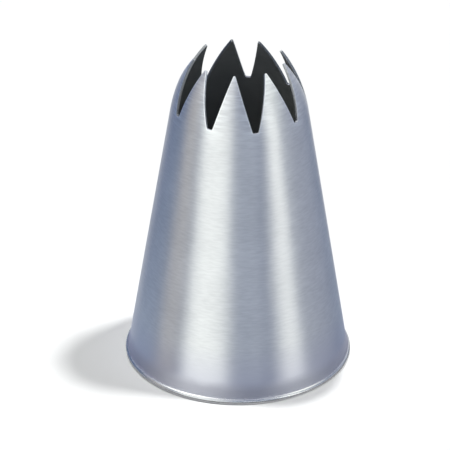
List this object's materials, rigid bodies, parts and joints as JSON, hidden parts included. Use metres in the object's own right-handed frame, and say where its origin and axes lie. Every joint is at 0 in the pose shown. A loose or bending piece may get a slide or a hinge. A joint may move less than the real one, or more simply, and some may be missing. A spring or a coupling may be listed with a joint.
{
  "type": "piping nozzle",
  "caption": "Seamless conical piping nozzle with a rolled rim and a closed star outlet of pointed teeth bent inwards, in brushed stainless steel.",
  "frame": {"origin": "on the nozzle's axis, level with the seat under its rim", "axes": "+Z along the axis, from the wide entry up to the star outlet; +X points at the middle of one notch"},
  "size_m": [0.0358, 0.0358, 0.05],
  "materials": {
    "stainless_steel": "fine circumferential brush marks, satin"
  },
  "bodies": {
    "root": {"nozzle_shell": "stainless_steel"}
  },
  "joints": []
}
